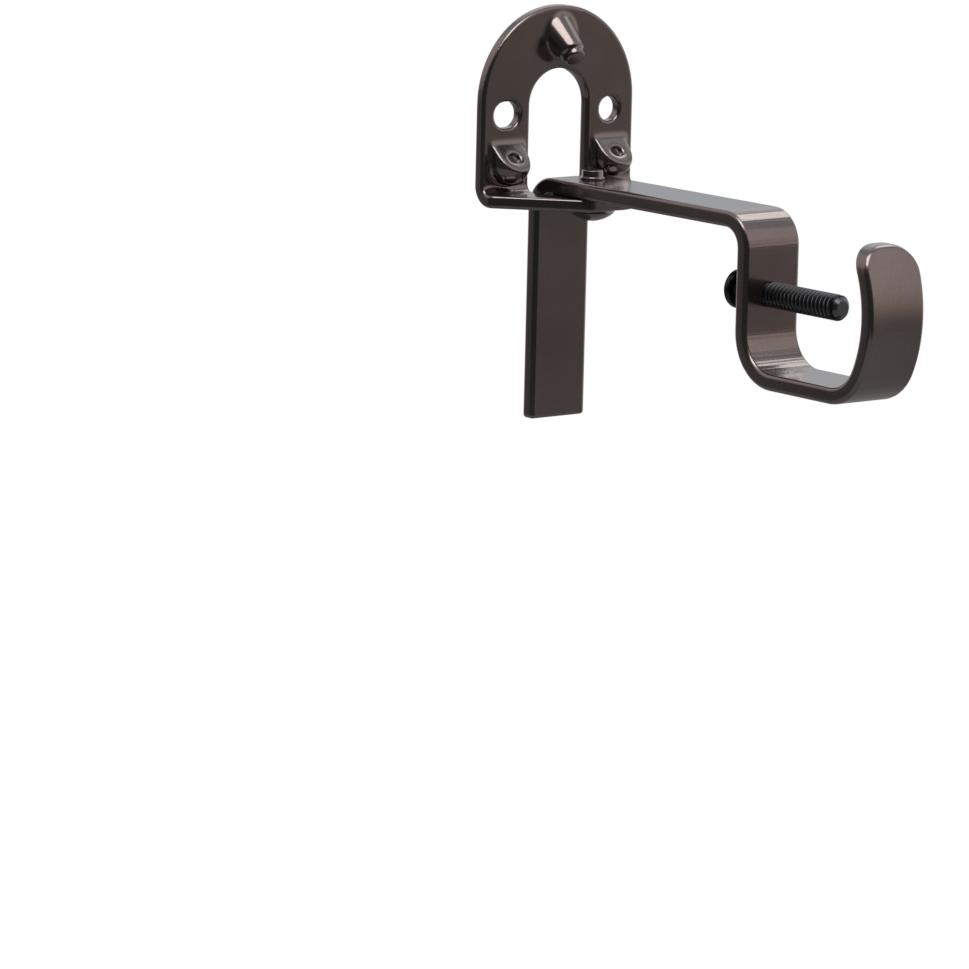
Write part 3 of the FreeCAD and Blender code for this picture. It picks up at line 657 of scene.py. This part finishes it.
class BRACKET_OT_clamp_screw(bpy.types.Operator):
    """Cut the clamp screw's thread and turn its slotted head"""
    bl_idname = "bracket.clamp_screw"
    bl_label = "Clamp screw"

    def execute(self, context):
        sizes = context.scene.bracket_screw
        bar = context.scene.bracket_bar
        head = self.slotted_head(sizes)
        shank = self.threaded_shank(sizes)
        pick(shank, head)
        bpy.ops.object.join()
        piece = context.object
        piece.name = "threaded_clamp_screw"
        piece.rotation_euler = (math.pi / 2, 0, 0)
        piece.location = (0, -(bar.reach - bar.thick - sizes.backed), -bar.shelf - sizes.drop)
        settle(piece)
        smooth(piece, 40)
        give(piece, dark_screw(context.scene.bracket_finish), "dark_screw", "screw",
             "clamp_screw")
        return {"FINISHED"}

    def slotted_head(self, sizes):
        """Domed head below the seat at height nought, with its slot."""
        cap = dome(sizes.head_radius, sizes.head_dome)
        profile = [(radius, -sizes.head_rim - rise) for radius, rise in reversed(cap)]
        profile += [(sizes.head_radius, -sizes.head_rim), (sizes.head_radius, 0)]
        head = stack("slotted_head", profile)
        modify(head, "BEVEL", width=sizes.head_edge, segments=4, limit_method="ANGLE",
               angle_limit=math.radians(50))
        crown = -sizes.head_rim - sizes.head_dome
        pick_nothing()
        bpy.ops.mesh.primitive_cube_add(size=1, location=(0, 0, crown))
        cutter = bpy.context.object
        cutter.scale = (3 * sizes.head_radius, sizes.drive_width, 2 * sizes.drive_depth)
        carve(head, cutter)
        return head

    def threaded_shank(self, sizes):
        """Thread along the upright axis from inside the head to the chamfered end."""
        pick_nothing()
        root = sizes.radius - sizes.groove
        pitch = sizes.pitch
        crest = sizes.radius
        # Radius and share of a turn: groove, flank, crest, flank and groove.
        profile = [(root, 0.10), (crest, 0.38), (crest, 0.60), (root, 0.88), (root, 1)]
        bpy.ops.mesh.primitive_plane_add(size=1, location=(root, 0, -2 * pitch))
        shank = bpy.context.object
        shank.name = "threaded_shank"
        settle(shank)
        edit(shank)
        bpy.ops.mesh.select_all(action="SELECT")
        bpy.ops.mesh.merge(type="CENTER")
        across, along = root, 0
        for radius, portion in profile:
            bpy.ops.mesh.extrude_region_move(TRANSFORM_OT_translate={
                "value": (radius - across, 0, (portion - along) * pitch)})
            across, along = radius, portion
        leave_edit()
        turns = math.ceil(sizes.shank / pitch) + 4
        modify(shank, "SCREW", axis="Z", angle=2 * math.pi, screw_offset=pitch,
               iterations=turns, steps=48, render_steps=48, use_merge_vertices=True,
               merge_threshold=0.001 * MM)
        tidy_mesh(shank)
        edit(shank)
        rings = 6
        for ring in range(1, rings + 1):
            height = sizes.shank - sizes.tip * ring / rings
            bpy.ops.mesh.select_all(action="SELECT")
            bpy.ops.mesh.bisect(plane_co=(0, 0, height), plane_no=(0, 0, 1))
        sunk = -0.2 * MM
        for height, way in ((sunk, -1), (sizes.shank, 1)):
            bpy.ops.mesh.select_all(action="SELECT")
            bpy.ops.mesh.bisect(plane_co=(0, 0, height), plane_no=(0, 0, way),
                                clear_outer=True)
        bpy.ops.mesh.select_all(action="DESELECT")
        bpy.ops.mesh.select_non_manifold()
        bpy.ops.mesh.fill_holes(sides=0)
        leave_edit()
        for vertex in shank.data.vertices:
            limit = sizes.radius - sizes.tip + (sizes.shank - vertex.co.z)
            around = math.hypot(vertex.co.x, vertex.co.y)
            if around > limit:
                vertex.co.x *= limit / around
                vertex.co.y *= limit / around
        tidy_mesh(shank)
        # Crests and the chamfered end are marked for the lighter tone: painted highlight, partly the
        # black rubbed off.
        highlit_and_worn = shank.data.attributes.new("thread_crest", "FLOAT", "POINT")
        for vertex in shank.data.vertices:
            near_end = vertex.co.z > sizes.shank - 0.6 * sizes.tip
            on_crest = math.hypot(vertex.co.x, vertex.co.y) > root + 0.9 * sizes.groove
            highlit_and_worn.data[vertex.index].value = 1 if near_end or on_crest else 0
        return shank


# Stage

class BRACKET_OT_stage(bpy.types.Operator):
    """Set the floor, the soft lights, the room and the camera"""
    bl_idname = "bracket.stage"
    bl_label = "Stage"

    def execute(self, context):
        stage = context.scene.bracket_stage
        lay_floor(stage)
        hang_light("key_light", stage.key_power, stage.key_size, stage.key_place)
        hang_light("fill_light", stage.fill_power, stage.fill_size, stage.fill_place)
        light_room(context.scene, stage)
        place_camera(context.scene, stage)
        context.scene.view_settings.view_transform = "Standard"
        return {"FINISHED"}


def lay_floor(stage):
    pick_nothing()
    bpy.ops.mesh.primitive_plane_add(size=FLOOR_SIZE, location=(0, 0, -stage.floor_drop))
    floor = bpy.context.object
    floor.name = "floor"
    material = bpy.data.materials.new("pale_floor")
    material.use_nodes = True
    tree = material.node_tree
    tree.nodes.remove(tree.nodes["Principled BSDF"])
    lit = tree.nodes.new("ShaderNodeBsdfDiffuse")
    lit.inputs["Color"].default_value = (*stage.floor_colour, 1)
    glow = tree.nodes.new("ShaderNodeEmission")
    glow.inputs["Strength"].default_value = FLOOR_GLOW
    rays = tree.nodes.new("ShaderNodeLightPath")
    part = tree.nodes.new("ShaderNodeMath")
    part.operation = "MULTIPLY"
    part.inputs[1].default_value = FLOOR_GLOW_SHARE
    mix = tree.nodes.new("ShaderNodeMixShader")
    tree.links.new(rays.outputs["Is Camera Ray"], part.inputs[0])
    tree.links.new(part.outputs["Value"], mix.inputs["Fac"])
    tree.links.new(lit.outputs["BSDF"], mix.inputs[1])
    tree.links.new(glow.outputs["Emission"], mix.inputs[2])
    tree.links.new(mix.outputs["Shader"], tree.nodes["Material Output"].inputs["Surface"])
    floor.data.materials.append(material)


def hang_light(name, power, size, place):
    """Square soft light that faces the bracket."""
    pick_nothing()
    bpy.ops.object.light_add(type="AREA", location=place)
    lamp = bpy.context.object
    lamp.name = name
    lamp.rotation_euler = (BRACKET_MIDDLE - Vector(place)).to_track_quat("-Z", "Y").to_euler()
    lamp.data.energy = power
    lamp.data.shape = "SQUARE"
    lamp.data.size = size


def light_room(scene, stage):
    """White where the camera looks. For the paint, a room that is bright on the right
    above the bracket and dark on its left and below it."""
    world = bpy.data.worlds.new("white_room")
    scene.world = world
    world.use_nodes = True
    tree = world.node_tree
    room = tree.nodes["Background"]
    way = tree.nodes.new("ShaderNodeTexCoord")
    bright = tree.nodes.new("ShaderNodeVectorMath")
    bright.operation = "DOT_PRODUCT"
    bright.inputs[1].default_value = Vector(stage.bright_way).normalized()
    ramp = tree.nodes.new("ShaderNodeValToRGB")
    darkest, *between, brightest = ROOM_TONES
    for end, (position, tone) in zip(ramp.color_ramp.elements, (darkest, brightest)):
        end.position = position
        end.color = (*tone, 1)
    for position, tone in between:
        ramp.color_ramp.elements.new(position).color = (*tone, 1)
    split = tree.nodes.new("ShaderNodeSeparateXYZ")
    dim = tree.nodes.new("ShaderNodeMapRange")
    dim.inputs["From Min"].default_value = -0.6
    dim.inputs["From Max"].default_value = 0.3
    dim.inputs["To Min"].default_value = stage.shade_side * stage.surround
    dim.inputs["To Max"].default_value = stage.surround
    shift = tree.nodes.new("ShaderNodeMapRange")
    shift.inputs["From Min"].default_value = -1
    seen = tree.nodes.new("ShaderNodeBackground")
    seen.inputs["Color"].default_value = (1, 1, 1, 1)
    rays = tree.nodes.new("ShaderNodeLightPath")
    mix = tree.nodes.new("ShaderNodeMixShader")
    tree.links.new(way.outputs["Generated"], bright.inputs[0])
    tree.links.new(way.outputs["Generated"], split.inputs["Vector"])
    tree.links.new(split.outputs["X"], dim.inputs["Value"])
    tree.links.new(dim.outputs["Result"], room.inputs["Strength"])
    tree.links.new(bright.outputs["Value"], shift.inputs["Value"])
    tree.links.new(shift.outputs["Result"], ramp.inputs["Fac"])
    tree.links.new(ramp.outputs["Color"], room.inputs["Color"])
    tree.links.new(rays.outputs["Is Camera Ray"], mix.inputs["Fac"])
    tree.links.new(room.outputs["Background"], mix.inputs[1])
    tree.links.new(seen.outputs["Background"], mix.inputs[2])
    tree.links.new(mix.outputs["Shader"], tree.nodes["World Output"].inputs["Surface"])


def place_camera(scene, stage):
    """Camera at the photograph's place. The bracket stands right of and above the
    middle of the picture, so the lens is shifted."""
    heading, dip, roll = stage.camera_heading, stage.camera_dip, stage.camera_roll
    across = Vector((math.cos(heading), math.sin(heading), 0))
    back = Vector((
        math.sin(heading) * math.cos(dip), -math.cos(heading) * math.cos(dip), math.sin(dip)))
    up = back.cross(across)
    right = math.cos(roll) * across + math.sin(roll) * up
    top = back.cross(right)
    bpy.ops.object.camera_add(location=(0, 0, 0))
    camera = bpy.context.object
    camera.name = "camera"
    turn = Matrix((right, top, back)).transposed().to_4x4()
    camera.matrix_world = Matrix.Translation(stage.camera_place) @ turn
    camera.data.lens = stage.lens
    camera.data.sensor_width = 36
    camera.data.shift_x, camera.data.shift_y = stage.lens_shift
    camera.data.clip_start = 0.01
    camera.data.clip_end = 50
    scene.camera = camera


class BRACKET_PT_panel(bpy.types.Panel):
    """Lists the bracket's pieces and their sizes"""
    bl_idname = "BRACKET_PT_panel"
    bl_label = "Curtain pole bracket"
    bl_space_type = "VIEW_3D"
    bl_region_type = "UI"
    bl_category = "Bracket"

    def draw(self, context):
        for operator, group in STEPS:
            box = self.layout.box()
            box.operator(operator.bl_idname)
            values = getattr(context.scene, group)
            for key in values.bl_rna.properties.keys():
                if key not in ("rna_type", "name"):
                    box.prop(values, key)
        box = self.layout.box()
        finish = context.scene.bracket_finish
        for key in finish.bl_rna.properties.keys():
            if key not in ("rna_type", "name"):
                box.prop(finish, key)


STEPS = [
    (BRACKET_OT_stage, "bracket_stage"),
    (BRACKET_OT_wall_plate, "bracket_plate"),
    (BRACKET_OT_hook_bar, "bracket_bar"),
    (BRACKET_OT_rivet, "bracket_rivet"),
    (BRACKET_OT_clamp_screw, "bracket_screw"),
]
GROUPS = {
    "bracket_plate": BracketPlateSizes,
    "bracket_bar": BracketBarSizes,
    "bracket_rivet": BracketRivetSizes,
    "bracket_screw": BracketScrewSizes,
    "bracket_finish": BracketFinish,
    "bracket_stage": BracketStage,
}


def register():
    for name, group in GROUPS.items():
        bpy.utils.register_class(group)
        setattr(bpy.types.Scene, name, bpy.props.PointerProperty(type=group))
    for operator, _ in STEPS:
        bpy.utils.register_class(operator)
    bpy.utils.register_class(BRACKET_PT_panel)


def unregister():
    bpy.utils.unregister_class(BRACKET_PT_panel)
    for operator, _ in reversed(STEPS):
        bpy.utils.unregister_class(operator)
    for name, group in GROUPS.items():
        delattr(bpy.types.Scene, name)
        bpy.utils.unregister_class(group)


def main():
    register()
    bpy.ops.bracket.stage()
    bpy.ops.bracket.wall_plate()
    bpy.ops.bracket.hook_bar()
    bpy.ops.bracket.rivet()
    bpy.ops.bracket.clamp_screw()


if __name__ == "__main__":
    main()
